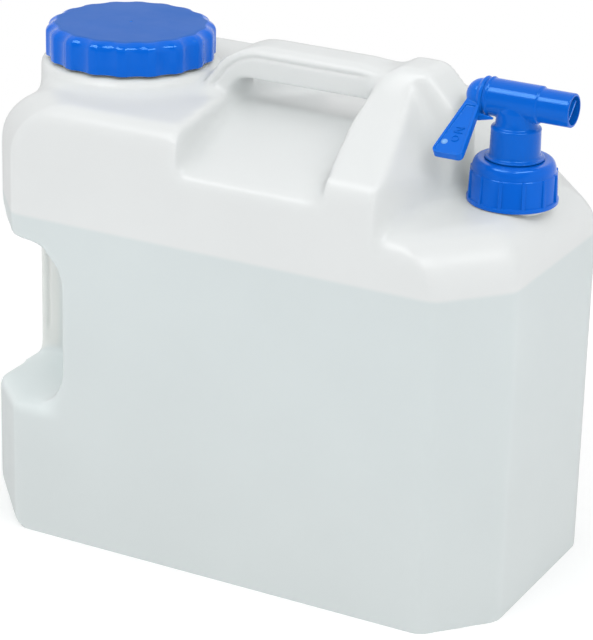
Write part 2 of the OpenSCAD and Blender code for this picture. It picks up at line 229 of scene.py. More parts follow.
def add(shape, *others):
    """Moves other bmeshes into one, as separate closed parts of the same piece."""
    for other in others:
        mesh = bpy.data.meshes.new("part")
        other.to_mesh(mesh)
        other.free()
        shape.from_mesh(mesh)
        bpy.data.meshes.remove(mesh)
    return shape


def to_metres(shape):
    """Scales a bmesh from mm to metres."""
    bmesh.ops.scale(shape, vec=(mm, mm, mm), verts=shape.verts[:])
    return shape


def prism(corners, plane, start, stop):
    """A block in mm. Its outline has the corners (u, v, rounding) in the plane xy, xz or yz,
    and it runs from start to stop across that plane."""
    place = {
        "xy": lambda u, v: (u, v, start),
        "xz": lambda u, v: (u, start, v),
        "yz": lambda u, v: (start, u, v),
    }[plane]
    way = {"xy": Vector((0, 0, 1)), "xz": Vector((0, 1, 0)), "yz": Vector((1, 0, 0))}[plane]
    shape = bmesh.new()
    points = [shape.verts.new(place(u, v)) for u, v, _ in corners]
    shape.faces.new(points)
    for i, (u, v, radius) in enumerate(corners):
        if radius <= 0:
            continue
        here = Vector((u, v))
        before = Vector(corners[i - 1][:2]) - here
        after = Vector(corners[(i + 1) % len(corners)][:2]) - here
        setback = radius / math.tan(before.angle(after) / 2)
        bmesh.ops.bevel(shape, geom=[points[i]], offset=setback, offset_type="OFFSET",
                        segments=8, profile=0.5, affect="VERTICES", material=-1)
    grown = bmesh.ops.extrude_face_region(shape, geom=shape.faces[:])
    moved = [g for g in grown["geom"] if isinstance(g, bmesh.types.BMVert)]
    bmesh.ops.translate(shape, vec=way * (stop - start), verts=moved)
    bmesh.ops.recalc_face_normals(shape, faces=shape.faces[:])
    return shaped("block", shape)


def settled(piece):
    """Applies a piece's modifiers to its mesh."""
    bpy.context.view_layer.update()
    graph = bpy.context.evaluated_depsgraph_get()
    mesh = bpy.data.meshes.new_from_object(piece.evaluated_get(graph))
    piece.modifiers.clear()
    old = piece.data
    piece.data = mesh
    bpy.data.meshes.remove(old)
    return piece


def combine(piece, operation, *others):
    """Joins, cuts or intersects a piece with others, which are used up. Every piece has to
    be closed, and then the result is closed too and the same each time."""
    for other in others:
        step = piece.modifiers.new("combine", "BOOLEAN")
        step.operation = operation
        step.solver = "MANIFOLD"
        step.object = other
    settled(piece)
    for other in others:
        bpy.data.objects.remove(other)
    return piece


def lathe(outline, steps=96, centre=(0, 0), closed=False):
    """A round shape in mm, turned about an upright line from points (radius, height)."""
    shape = bmesh.new()
    points = [shape.verts.new((centre[0] + r, centre[1], z)) for r, z in outline]
    edges = [shape.edges.new(pair) for pair in zip(points, points[1:])]
    if closed:
        edges.append(shape.edges.new((points[-1], points[0])))
    bmesh.ops.spin(shape, geom=points + edges, cent=(centre[0], centre[1], 0), axis=(0, 0, 1),
                   angle=math.tau, steps=steps, use_merge=True)
    bmesh.ops.remove_doubles(shape, verts=shape.verts[:], dist=0.0005)
    bmesh.ops.recalc_face_normals(shape, faces=shape.faces[:])
    return shape


def arc(centre, radius, start, stop, steps=6):
    """Points (radius, height) of an arc, for a lathe's outline."""
    return [(centre[0] + radius * math.cos(math.radians(start + (stop - start) * i / steps)),
             centre[1] + radius * math.sin(math.radians(start + (stop - start) * i / steps)))
            for i in range(steps + 1)]


# flat chamfers cut off the can's corners, along all its lumps
chamfer_out = Vector((corner_y, corner_x)).normalized()
chamfer_reach = chamfer_out.dot(Vector((half_length, half_width - corner_y)))
across, along = (-110, 110), (-190, 190)
inside_z = 209


def plan(t):
    """Eight-sided plan of the can, drawn in by t."""
    a, b, d = half_length - t, half_width - t, chamfer_reach - t
    y, x = (d - chamfer_out.x * a) / chamfer_out.y, (d - chamfer_out.y * b) / chamfer_out.x
    r = 9 - t
    return [(a, -y, r), (a, y, r), (x, b, r), (-x, b, r),
            (-a, y, r), (-a, -y, r), (-x, -b, r), (x, -b, r)]


def chamfers(t, side, top, rounding):
    """Two crossed blocks that round the top edges of the chamfers at one end."""
    far, under, reach = 400, t - 3, chamfer_reach - t
    made = []
    for turn in (1, -1):
        block = prism([(-far, under, 0), (reach, under, 0), (reach, top - t, rounding - t),
                       (-far, top - t, 0)], "xz", -far, far)
        angle = turn * math.atan2(corner_x, corner_y) + (0 if side > 0 else math.pi)
        block.data.transform(Matrix.Rotation(angle, 4, "Z"))
        made.append(block)
    return made


def gable(half, low, top, rounding, way):
    """A block along the can with both of its top edges rounded."""
    return prism([(-half, low, 0), (half, low, 0), (half, top, rounding),
                  (-half, top, rounding)], "yz", *way)


def tub_form(t, base):
    """The lower tub with the shelf on top, and the foot of its bevelled grip end."""
    a, b = half_length - t, half_width - t
    bevel = [(-a, 14 + 0.7 * t, 4), (-142, 1.1 * t, 0), (-140, base, 0)]
    tub = combine(
        prism(plan(t), "xy", base, shelf_z - t), "INTERSECT",
        prism([*bevel, (a, base, 0), (a, shelf_z - t, 28 - t), (-a, shelf_z - t, 0)],
              "xz", *across),
        gable(b, base, shelf_z - t, 16 - t, along),
        *chamfers(t, 1, shelf_z, 35))
    foot = combine(
        prism([(-a, t - 68, 6), (-a, 68 - t, 6), (t - 146, b, 6), (-60, b, 0),
               (-60, -b, 0), (t - 146, -b, 6)], "xy", base, 100), "INTERSECT",
        prism([*bevel, (-50, base, 0), (-50, 101, 0), (-a, 101, 0)], "xz", *across))
    return tub, foot


def shoulder_form(t):
    """The shoulder below the filling neck, with a slanting end towards the handle."""
    a, b = half_length - t, half_width - t
    right, top = -28 - t, shoulder_z - t
    return combine(
        prism(plan(t), "xy", inside_z, top), "INTERSECT",
        prism([(-a, inside_z - 1, 0), (right, inside_z - 1, 0), (right, top, 5),
               (-a, top, 50 - t)], "xz", *across),
        gable(b, inside_z - 1, top, 14 - t, along),
        prism([(-190, -110, 0), (right + 1, -110, 0), (right - 12, -16, 0),
               (right - 12, 16, 0), (right + 1, 110, 0), (-190, 110, 0)],
              "xy", inside_z - 2, 300),
        *chamfers(t, -1, shoulder_z, 36))


def hump_form(t):
    """The roof-shaped ridge across the middle, and the hump: its flanks and its spine."""
    b, low, crest, top = half_width - t, inside_z, 324 - t, hump_z - t
    ridge = combine(
        prism(plan(t), "xy", low, 285), "INTERSECT",
        prism([(-b, low - 1, 0), (b, low - 1, 0), (b, 263 - t, 8), (0, 282 - t, 30),
               (-b, 263 - t, 8)], "yz", -58, 95))
    x0, x1, lean = 61 + t, 115 - t, 112 - 1.1 * t
    flanks = combine(
        prism([(x0, low, 0), (lean, low, 0), (lean, 265, 20),
               (lean - (59 - t) * 0.47, crest, 0), (x0 + 14, crest, 6), (x0, 312 - t, 8)],
              "xz", *across), "INTERSECT",
        prism([(-b, low - 1, 0), (b, low - 1, 0), (b, 276 - t, 14), (30 - t / 2, 310 - t, 10),
               (15 - t, crest, 8), (-15 + t, crest, 8), (-30 + t / 2, 310 - t, 10),
               (-b, 276 - t, 14)], "yz", 55, 120),
        prism([(x0 + 10, -103, 0), (x1 - 11, -103, 0), (x1 - 5, -44.8, 0), (x1, -16, 0),
               (x1, 16, 0), (x1 - 5, 44.8, 0), (x1 - 11, 103, 0), (x0 + 10, 103, 0),
               (x0 + 4, 76, 0), (x0, 50, 0), (x0, -50, 0), (x0 + 4, -76, 0)],
              "xy", low - 1, 330))
    w = 18 - t
    spine = combine(
        prism([(x0, low, 0), (x1, low, 0), (x1, 304 - t, 8), (x1 - 20, top, 10),
               (x0 + 14, top, 6), (x0 + 4, 318 - t, 4), (x0, 310 - t, 0)], "xz", -w, w),
        "INTERSECT", gable(w, low - 1, top, 6, (55, 120)))
    return ridge, flanks, spine


def handle_form(t):
    """The carry handle from the shoulder to the hump, over its finger hole."""
    w, top, roof = 16 - t, handle_z - t, 301.5 + 1.9 * t
    left, right = -64 + t, 85
    handle = combine(
        prism([(left, 265, 0), (left, 288, 0), (-38 + t / 2, top, 40 - t), (46, top, 20),
               (66, top - 2.2, 0), (right, top - 2.2, 0), (right, 265, 0)], "xz", -w, w),
        "INTERSECT", gable(w, 264, top, 5 - t, (-70, 90)))
    return combine(handle, "DIFFERENCE", prism(
        [(-40 - t, 252, 0), (61 + t, 252, 0), (61 + t, roof, 2), (-40 - t, roof, 13 + t)],
        "xz", -30, 30))


def can_form(t, base):
    """The can's lumps as one closed mesh in mm, drawn in by t, with its floor at base."""
    boss = shaped("boss", lathe(
        [(0, inside_z), (57.3 - t, inside_z), *arc((55.8 - t, 295.8 - t), 1.5, 0, 90, 3),
         (0, 297.3 - t)], 96, (fill_x, 0)))
    tub, foot = tub_form(t, base)
    whole = combine(tub, "UNION", foot, shoulder_form(t), *hump_form(t), handle_form(t), boss)
    # a mouth on either side of the grip bar, and a hole behind it from side to side
    reach, down, up = -111 + t, grip_low - 1.9 * t, grip_high + 1.9 * t
    mouth = [(-200, down - 2, 0), (-172, down, 20), (reach, down, 26 + t),
             (reach, up, 26 + t), (-165, up, 20), (-180, up + 4, 0), (-200, up + 4, 0)]
    hole = [(-150 - t, down + 10, 12 + t), (reach - 4, down + 10, 12 + t),
            (reach - 4, up - 10, 12 + t), (-150 - t, up - 10, 12 + t)]
    bar = 19.5 - t
    return combine(whole, "DIFFERENCE", prism(mouth, "xz", bar, 110),
                   prism(mouth, "xz", -110, -bar), prism(hole, "xz", *across))


bend_r = 40
bend = Vector((-18.2, handle_z - bend_r))
rise = Vector((0.607, 0.794))


def handle_depth(x, z):
    """How far a point of the handle lies inside the outer line of its loop."""
    here = Vector((x, z))
    if x < bend.x and (here - bend).dot(rise) > 0:
        return bend_r - (here - bend).length
    if x < bend.x:
        return -(here - Vector((-64, 288))).dot(Vector((-rise.y, rise.x)))
    return handle_z - z


def thread(centre, wall, depth, pitch, turns, low, foot, crest, start=0):
    """A thread ridge in mm that rises on a round wall and fades out at both ends. Its depth
    is negative where it points inwards."""
    shape = bmesh.new()
    side, per_turn = (1 if depth > 0 else -1), 40
    corners = [shape.verts.new((centre[0] + r, centre[1], low + z)) for r, z in (
        (wall - 0.5 * side, -foot / 2), (wall - 0.5 * side, foot / 2),
        (wall + depth, crest / 2), (wall + depth, -crest / 2))]
    loop = [shape.edges.new((corners[i], corners[(i + 1) % 4])) for i in range(4)]
    steps = round(turns * per_turn)
    bmesh.ops.spin(shape, geom=corners + loop, cent=(centre[0], centre[1], 0),
                   axis=(0, 0, 1), dvec=(0, 0, pitch / per_turn), angle=math.tau * turns,
                   steps=steps)
    for v in shape.verts:
        ring = (v.co.z - low) / pitch * per_turn
        fade = max(0.08, min(1, (ring + 1) / 5, (steps + 1 - ring) / 5))
        flat = Vector((v.co.x - centre[0], v.co.y - centre[1], 0))
        if (flat.length - wall) * side > 0:
            v.co += flat.normalized() * (abs(depth) * (fade - 1)) * side
    bmesh.ops.holes_fill(shape, edges=shape.edges[:], sides=4)
    bmesh.ops.recalc_face_normals(shape, faces=shape.faces[:])
    bmesh.ops.rotate(shape, cent=(centre[0], centre[1], 0), verts=shape.verts[:],
                     matrix=Matrix.Rotation(math.radians(start), 3, "Z"))
    return shape


can = can_form(0, -4.5)
can.name = "can"
skin = can.modifiers.new("skin", "REMESH")
skin.mode = "VOXEL"
skin.voxel_size = 2.6
settled(can)


def relax(shape, verts, rounds):
    """Evens out a surface, a little more with each round."""
    for _ in range(rounds):
        bmesh.ops.smooth_vert(shape, verts=verts, factor=0.5,
                              use_axis_x=True, use_axis_y=True, use_axis_z=True)


def ramp(value, length):
    """Rises from 0 to 1 over a length, and stays within them."""
    return min(1, max(0, value / length))


# blowing leaves wide fillets in the inner corners and keeps the outer edges crisp
shape = bmesh.new()
shape.from_mesh(can.data)
relax(shape, shape.verts, 3)
shape.normal_update()
crisp = [(v.co.copy(), v.normal.copy()) for v in shape.verts]
relax(shape, shape.verts, 40)
for v, (place, normal) in zip(shape.verts, crisp):
    v.co = place + normal * max(0, (v.co - place).dot(normal))
relax(shape, shape.verts, 2)
for v in shape.verts:
    v.co.z = max(v.co.z, 0)
# the lips of the grip's recess and the hump's left edge are rounder than the rest
relax(shape, [v for v in shape.verts if v.co.x < -122 and abs(v.co.y) > 40
              and (abs(v.co.z - grip_high) < 14 or abs(v.co.z - grip_low + 2) < 5)], 12)
relax(shape, [v for v in shape.verts if 54 < v.co.x < 72 and abs(v.co.y) > 19
              and 225 < v.co.z < 316], 12)


def in_handle(v):
    """The sides of the handle, with some room around them."""
    return abs(abs(v.co.y) - 15) < 3.5 and v.co.z > 287 and -67 < v.co.x < 62


def in_grip(v):
    """The sides of the grip bar."""
    return abs(abs(v.co.y) - 18.5) < 3.5 and 88 < v.co.z < 200 and -180 < v.co.x < -164


def groove(v):
    """How deep the groove is at a point on the side of the handle or the grip bar."""
    x, y, z = v.co
    if in_handle(v):
        line = math.exp(-((handle_depth(x, z) - 6.2) / 1.2) ** 2)
        fade = ramp(57 - x, 8) * ramp(z - 287, 6)
        return 1.1 * line * fade
    line = math.exp(-((x + 173) / 1.5) ** 2)
    fade = ramp(z - 103, 6) * ramp(185 - z, 6)
    return 1.3 * line * fade


# the handle and the grip bar have finer faces, and carry a groove down each side
for inside in (in_handle, in_grip):
    fine = [e for e in shape.edges if all(inside(v) for v in e.verts)]
    bmesh.ops.subdivide_edges(shape, edges=fine, cuts=2, use_grid_fill=True)
    relax(shape, [v for v in shape.verts if inside(v)], 4)
shape.normal_update()
for v in shape.verts:
    if (in_handle(v) or in_grip(v)) and abs(v.normal.y) > 0.5:
        v.co.y -= math.copysign(groove(v), v.co.y)
shape.to_mesh(can.data)
shape.free()


def cleaned(shape):
    """Clears away the slivers that the cuts leave behind."""
    bmesh.ops.remove_doubles(shape, verts=shape.verts[:], dist=0.002)
    bmesh.ops.dissolve_degenerate(shape, edges=shape.edges[:], dist=0.002)
    left = set(shape.verts)
    while left:
        island, border = set(), [left.pop()]
        while border:
            v = border.pop()
            island.add(v)
            for other in [e.other_vert(v) for e in v.link_edges]:
                if other in left:
                    left.discard(other)
                    border.append(other)
        if len(island) < 12:
            bmesh.ops.delete(shape, geom=list(island), context="VERTS")
    bmesh.ops.triangulate(shape, faces=[f for f in shape.faces if len(f.verts) > 4])
    same = {}
    for face in shape.faces:
        same.setdefault(frozenset(face.verts), []).append(face)
    bmesh.ops.delete(shape, geom=[f for pair in same.values() if len(pair) > 1 for f in pair],
                     context="FACES")
    return shape


# the hollow inside, the bores that open it at the top, and the necks for lid and tap
wall = 3.4
fill_bore, fill_neck, tap_bore, tap_neck = 43.5, 47, 18.6, 22
bores = [shaped("bore", lathe([(0, low), (r, low), (r, high), (0, high)], steps, (x, 0)))
         for r, low, high, steps, x in ((fill_bore, 270, 330, 96, fill_x),
                                        (tap_bore, 230, 280, 64, tap_x))]
necks = [
    shaped("neck", lathe([
        (fill_bore, 288), (fill_neck, 288), *arc((46.2, 313.2), 0.8, 0, 90, 2),
        *arc((44.3, 313.2), 0.8, 90, 180, 2)], 96, (fill_x, 0), True)),
    shaped("neck", lathe([
        (tap_bore, 247), (tap_neck, 247), *arc((21.4, 269.4), 0.6, 0, 90, 2),
        *arc((19.2, 269.4), 0.6, 90, 180, 2)], 64, (tap_x, 0), True)),
]
combine(can, "DIFFERENCE", can_form(wall, wall), *bores)
combine(can, "UNION", *necks)
shape = bmesh.new()
shape.from_mesh(can.data)
add(cleaned(shape), thread((fill_x, 0), fill_neck, 2, 8, 1.25, 300.4, 3, 1.4),
    thread((tap_x, 0), tap_neck, 1.7, 6, 1.75, 257, 2.4, 1.1))
to_metres(shape).to_mesh(can.data)
shape.free()
soften(can.data, 50)
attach(can, "can")
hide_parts("can_body")


def moulding_group():
    """Surface of moulded plastic: faint tone and gloss changes, waves and fine grain."""
    group = bpy.data.node_groups.new("moulding", "ShaderNodeTree")
    for name, value in (("Wave", 12.0), ("Grain", 900.0), ("Patch", 25.0)):
        socket = group.interface.new_socket(name=name, in_out="INPUT",
                                            socket_type="NodeSocketFloat")
        socket.default_value = value
    for name in ("Tone", "Gloss", "Height"):
        group.interface.new_socket(name=name, in_out="OUTPUT", socket_type="NodeSocketFloat")
    into = node(group, "NodeGroupInput", (-900, 0))
    out = node(group, "NodeGroupOutput", (700, 0))
    where = node(group, "ShaderNodeTexCoord", (-900, 300))
    noises = {}
    for row, (name, detail) in enumerate((("Wave", 2.0), ("Grain", 1.0), ("Patch", 4.0))):
        noises[name] = node(group, "ShaderNodeTexNoise", (-600, 300 - 260 * row),
                            Detail=detail, Roughness=0.55)
        group.links.new(where.outputs["Object"], noises[name].inputs["Vector"])
        group.links.new(into.outputs[name], noises[name].inputs["Scale"])
    fac = {name: noise.outputs["Fac"] for name, noise in noises.items()}
    tone = span(group, fac["Wave"], 0.3, 0.7, (-200, 300), 0.985, 1.015, "LINEAR")
    gloss = span(group, fac["Patch"], 0.35, 0.7, (-200, 0), -0.04, 0.05, "LINEAR")
    rise = node(group, "ShaderNodeMath", (-200, -300), operation="MULTIPLY_ADD")
    for socket, value in zip(rise.inputs, (fac["Grain"], 0.12, fac["Wave"])):
        feed(group, socket, value)
    for name, value in (("Tone", tone), ("Gloss", gloss), ("Height", rise.outputs["Value"])):
        group.links.new(value, out.inputs[name])
    return group


moulding = moulding_group()


def plastic(name, roughness, wave, grain, bump):
    """A moulded plastic with the surface group on its roughness and normal. Returns the
    material, its tree, its shader and the group, whose Tone goes into the colour."""
    made = bpy.data.materials.new(name)
    made.use_nodes = True
    tree = made.node_tree
    shader = tree.nodes["Principled BSDF"]
    surface = node(tree, "ShaderNodeGroup", (-900, -200), node_tree=moulding)
    for key, value in (("Wave", wave), ("Grain", grain), ("Patch", 25)):
        surface.inputs[key].default_value = value
    lift = node(tree, "ShaderNodeBump", (-300, -350), Strength=bump, Distance=mm)
    tree.links.new(surface.outputs["Height"], lift.inputs["Height"])
    tree.links.new(lift.outputs["Normal"], shader.inputs["Normal"])
    feed(tree, shader.inputs["Roughness"],
         chain(tree, "ADD", (surface.outputs["Gloss"], roughness), (-300, -100)))
    return made, tree, shader, surface


def toned(tree, colour, tone, place):
    """A colour, or a colour socket, times a tone."""
    mix = node(tree, "ShaderNodeMix", place, data_type="RGBA", blend_type="MULTIPLY")
    for name, value in (("Factor", 1.0), ("A", colour), ("B", tone)):
        feed(tree, mix.inputs[name], value)
    return mix.outputs["Result"]


def axes(tree, place):
    """The three coordinates on a piece, in metres."""
    where = node(tree, "ShaderNodeTexCoord", place)
    parts = node(tree, "ShaderNodeSeparateXYZ", (place[0] + 200, place[1]))
    tree.links.new(where.outputs["Object"], parts.inputs["Vector"])
    return [parts.outputs[name] for name in "XYZ"]


natural, tree, shader, surface = plastic("natural", 0.35, wave=9, grain=700, bump=0.03)
for name, value in (("Subsurface Weight", 0.35), ("Subsurface Radius", (1, 1, 1)),
                    ("Subsurface Scale", 0.006), ("Specular IOR Level", 0.24)):
    shader.inputs[name].default_value = value
x, y, z = axes(tree, (-1700, 300))
# the water behind the wall greys and cools it up to the water line, and below that the wall
# is darker towards the bottom
dry = span(tree, z, 0.2150, 0.2186, (-1250, 400))
from_floor = span(tree, z, 0.0, 0.2, (-1250, 150))
water = blend(tree, from_floor, (0.640, 0.686, 0.686, 1), (0.686, 0.746, 0.752, 1), (-1000, 200))
cool = blend(tree, dry, water, (0.783, 0.806, 0.806, 1), (-750, 300))
# the grip bar stands clear of the water and looks warmer
aside = node(tree, "ShaderNodeMath", (-1250, -350), operation="ABSOLUTE")
tree.links.new(y, aside.inputs[0])
aside = aside.outputs["Value"]
grip = chain(tree, "MULTIPLY", (
    span(tree, x, -0.168, -0.158, (-1250, -100), 1.0, 0.0),
    span(tree, aside, 0.0195, 0.0235, (-1050, -350), 1.0, 0.0),
    span(tree, z, 0.198, 0.205, (-1050, -600), 1.0, 0.0),
    span(tree, z, 0.083, 0.090, (-1050, -850))), (-800, -600))
warm = blend(tree, grip, cool, (0.775, 0.800, 0.775, 1), (-550, 300))
# a painted glow keeps the recess below the bar pale, in place of the light that comes through
# the water behind it
recess_glow = chain(tree, "MULTIPLY", (
    span(tree, x, -0.128, -0.108, (-1250, -1100), 1.0, 0.0),
    span(tree, aside, 0.019, 0.026, (-1050, -1100)),
    span(tree, z, 0.092, 0.125, (-1050, -1350), 1.0, 0.0),
    span(tree, z, 0.080, 0.089, (-850, -1350))), (-800, -1100))
feed(tree, shader.inputs["Emission Color"],
     toned(tree, (0.74, 0.80, 0.79, 1), recess_glow, (-200, -900)))
shader.inputs["Emission Strength"].default_value = 0.15
natural.cycles.emission_sampling = "NONE"
# seen edge on, the wall is thicker and darker
edge = node(tree, "ShaderNodeLayerWeight", (-1250, 650), Blend=0.5)
thick = span(tree, edge.outputs["Facing"], 0.55, 1.0, (-1050, 650), 1.0, 0.76)
pale = toned(tree, warm, thick, (-400, 500))
feed(tree, shader.inputs["Base Color"],
     toned(tree, pale, surface.outputs["Tone"], (-200, 300)))
can.data.materials.clear()
can.data.materials.append(natural)

# ---- lid ------------------------------------------------------------------------------
# Screw lid of blue polypropylene, injection moulded: eighteen flutes run over its rounded
# edge, the flat top is matt and the sides are glossy. It screws onto the filling neck.

lid_z, lid_top, lid_r, lid_bore = 299.1, 320.1, 54.3, 49.6
shape = lathe([
    # the gate's mark in the middle of the top
    (0, lid_top - 0.9), (0.8, lid_top - 0.9), (1.0, lid_top - 0.8), (1.15, lid_top - 0.1),
    (1.25, lid_top), (1.6, lid_top),
    # the flat top and its rounded edge
    (20, lid_top), (40, lid_top), (44.5, lid_top),
    *[(lid_r - 8 + 8 * math.sin(math.radians(a)),
       lid_top - 6 + 6 * math.cos(math.radians(a))) for a in range(0, 91, 9)],
    # the side and its foot
    (lid_r, lid_z + 8), *arc((lid_r - 0.8, lid_z + 0.8), 0.8, 0, -90, 3),
    # the inside
    (50.2, lid_z), (lid_bore, lid_z + 0.6), (lid_bore, lid_top - 3.5),
    (48.6, lid_top - 2.5), (0, lid_top - 2.5)], 360, (fill_x, 0))
# round cutters beside the lid give its flutes, which fade out towards the flat top
flute_step, first_flute = 360 / 18, 5
cutter_r, cutter_reach = 16, 68.4
for v in shape.verts:
    if v.co.z > lid_top - 2 or math.hypot(v.co.x - fill_x, v.co.y) > 50:
        out = Vector((v.co.x - fill_x, v.co.y, 0))
        turn = math.degrees(math.atan2(out.y, out.x)) - first_flute + flute_step / 2
        turn = math.radians(turn % flute_step - flute_step / 2)
        room = cutter_r ** 2 - (cutter_reach * math.sin(turn)) ** 2
        cut = lid_r - (cutter_reach * math.cos(turn) - math.sqrt(max(room, 0)))
        cut = 0.5 * (cut + math.sqrt(cut * cut + 0.06))
        share = ramp(out.length - 43, 9)
        v.co -= out.normalized() * cut * share * share * (3 - 2 * share)
ridge = thread((fill_x, 0), lid_bore, -2, 8, 1, 301, 3, 1.4, 180)
lid = shaped("lid_shell", to_metres(add(shape, ridge)), 60)
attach(lid, "lid")
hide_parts("lid")


def blue(tree, shader, colour, tone):
    """Gives a shader a blue pigment, whose gloss is a little blue too. To light that bounces
    off it onto the can it is painted a pale grey, painted light that keeps the pale wall
    beside it light and untinted."""
    path = node(tree, "ShaderNodeLightPath", (-700, 700))
    pigment = toned(tree, colour, tone, (-300, 300))
    feed(tree, shader.inputs["Base Color"],
         blend(tree, path.outputs["Is Diffuse Ray"], pigment, (0.68, 0.70, 0.69, 1),
               (-150, 500)))
    shader.inputs["Specular Tint"].default_value = (0.3, 0.68, 1.0, 1)
    shader.inputs["Specular IOR Level"].default_value = 0.4


lid_blue, tree, shader, surface = plastic("lid_blue", 0.0, wave=30, grain=1500, bump=0.06)
z = axes(tree, (-1500, 0))[2]
matt = span(tree, z, (lid_top - 0.9) * mm, (lid_top - 0.1) * mm, (-1100, 0), 0.13, 0.5)
feed(tree, shader.inputs["Roughness"],
     chain(tree, "ADD", (matt, surface.outputs["Gloss"]), (-700, -50)))
# the flat top is painted a darker blue, painted shade for how the matt top takes the light
top_shade = span(tree, z, (lid_top - 0.6) * mm, (lid_top - 0.1) * mm, (-900, 500))
paint = blend(tree, top_shade, (0.002, 0.135, 0.72, 1), (0.003, 0.110, 0.50, 1), (-600, 500))
blue(tree, shader, paint, surface.outputs["Tone"])
lid.data.materials.append(lid_blue)

# ---- lid seal -------------------------------------------------------------------------
# Flat ring of foamed polyethylene inside the lid, punched from sheet and pressed onto the
# rim of the filling neck.


def flat_ring(name, hole, rim, low, high, centre, steps):
    """A flat ring in metres, from a hole and a rim radius in mm, with broken edges."""
    return shaped(name, to_metres(lathe(
        [(hole + 0.1, low), (rim - 0.1, low), (rim, low + 0.2), (rim, high - 0.2),
         (rim - 0.1, high), (hole + 0.1, high), (hole, high - 0.2), (hole, low + 0.2)],
        steps, (centre, 0), True)), 40)


seal = flat_ring("lid_seal_ring", 43.4, 49.2, 314.3, 316.2, fill_x, 128)
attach(seal, "lid_ring")
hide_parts("lid_seal")
foam, tree, shader, surface = plastic("foam", 0.62, wave=40, grain=2500, bump=0.25)
feed(tree, shader.inputs["Base Color"],
     toned(tree, (0.70, 0.72, 0.71, 1), surface.outputs["Tone"], (-300, 300)))
seal.data.materials.append(foam)

# ---- union nut ------------------------------------------------------------------------
# Blue union nut, injection moulded, with twelve grip ribs over a foot flange. It pulls the
# tap's disc down onto the can's small neck.

foot, wall_top, nut_top, nut_bore = 250.4, 269.5, 277, 24.1
shape = lathe([
    # the foot flange
    (26.0, foot), (27.5, foot), (27.9, foot + 0.4), (27.9, foot + 2.3), (27.5, foot + 2.7),
    (26.7, foot + 2.9),
    # the wall and its round shoulder
    (26.4, foot + 3.4), (26.4, wall_top - 0.6), (26.2, wall_top - 0.1),
    (25.7, wall_top + 0.3),
    *[(25.6 - 3.6 * (1 - math.cos(math.radians(a))),
       wall_top + 0.8 + 6.7 * math.sin(math.radians(a))) for a in range(0, 91, 10)],
    # the plate and its hole
    (20.5, nut_top), (17.0, nut_top), (16.4, nut_top - 0.3), (16.2, nut_top - 0.8),
    (16.2, nut_top - 2.3), (16.6, nut_top - 2.6), (22.4, nut_top - 2.6),
    # the inside
    (23.1, nut_top - 3.3), (23.1, wall_top + 0.4), (nut_bore, wall_top - 0.6),
    (nut_bore, foot + 0.8)], 144, (tap_x, 0), True)


def cube(size, centre):
    """A block in mm, from its size and its middle."""
    made = bmesh.new()
    bmesh.ops.create_cube(made, size=1)
    bmesh.ops.scale(made, vec=size, verts=made.verts[:])
    bmesh.ops.translate(made, vec=centre, verts=made.verts[:])
    return made


rib_count = 12
for i in range(rib_count):
    rib = cube((3.2, 2.2, wall_top - foot - 1.2), (26.3, 0, (foot + wall_top) / 2 + 1.0))
    for v in rib.verts:
        if v.co.z > wall_top - 1 and v.co.x > 26.5:
            v.co.x -= 0.8
    bmesh.ops.rotate(rib, cent=(0, 0, 0), verts=rib.verts[:],
                     matrix=Matrix.Rotation(math.radians(360 / rib_count * i + 7), 3, "Z"))
    bmesh.ops.translate(rib, vec=(tap_x, 0, 0), verts=rib.verts[:])
    bmesh.ops.bevel(rib, geom=rib.edges[:], offset=0.4, segments=3, profile=0.5,
                    affect="EDGES", material=-1)
    add(shape, rib)
ridge = thread((tap_x, 0), nut_bore, -1.7, 6, 1.25, foot + 3.3, 2.4, 1.1)
nut = shaped("union_nut", to_metres(add(shape, ridge)), 35)
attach(nut, "nut")
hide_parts("tap_nut")
nut_blue, tree, shader, surface = plastic("nut_blue", 0.17, wave=40, grain=1800, bump=0.03)
blue(tree, shader, (0.002, 0.127, 0.69, 1), surface.outputs["Tone"])
nut.data.materials.append(nut_blue)

# ---- tap body -------------------------------------------------------------------------
# Tail, disc, socket, neck, barrel and nozzle in one blue moulding. The tail hangs in the
# can's neck and the disc lies on the union nut.

axis_z = 312.5


def laid(outline, steps=96):
    """A round shape in mm along the barrel, from points (radius, place along it)."""
    shape = lathe(outline, steps)
    bmesh.ops.rotate(shape, cent=(0, 0, 0), verts=shape.verts[:],
                     matrix=Matrix.Rotation(math.radians(90), 3, "Y"))
    bmesh.ops.translate(shape, vec=(0, 0, axis_z), verts=shape.verts[:])
    return shape


def fused(name, shape, voxel, rounds):
    """Fuses the closed parts of a bmesh in mm into one soft-edged moulding."""
    piece = shaped(name, shape)
    step = piece.modifiers.new("fuse", "REMESH")
    step.mode = "VOXEL"
    step.voxel_size = voxel
    even = piece.modifiers.new("even", "SMOOTH")
    even.factor = 0.5
    even.iterations = rounds
    return settled(piece)


upright = lathe([
    # the tail in the can's neck
    (0, 254), (14.5, 254), (15.5, 256), (15.5, 272), (16.9, 273.2), (15.5, 274.1),
    # the disc on the nut
    (15.5, 277.3), (18.1, 277.3), (18.2, 278.1), (17.9, 278.5), (16.0, 278.9),
    # the socket and the neck above it
    (15.5, 280.2), (15.3, 290), (15.2, 295.2), *arc((13.9, 295.6), 1.5, 0, 90, 4),
    (13.4, 297.3), (12.9, 298.4), (12.6, 301), (12.5, 307), (11.3, 310.5), (0, 311.5)],
    128, (tap_x, 0))
barrel = laid([
    # the bead at the barrel's open end
    (0, 128.9), (11.2, 128.9), (11.4, 130.1), (12.1, 130.5), (12.35, 131.1), (12.1, 131.7),
    # the barrel, and the nozzle that steps down from it
    (11.5, 132.2), (11.5, 163.0), (11.2, 163.6), (10.6, 163.9), (10.4, 164.5),
    (10.4, 183.7), (10.1, 184.2), (9.8, 184.3), (0, 184.3)], 128)
tap = fused("tap_moulding", add(upright, barrel), 0.36, 3)
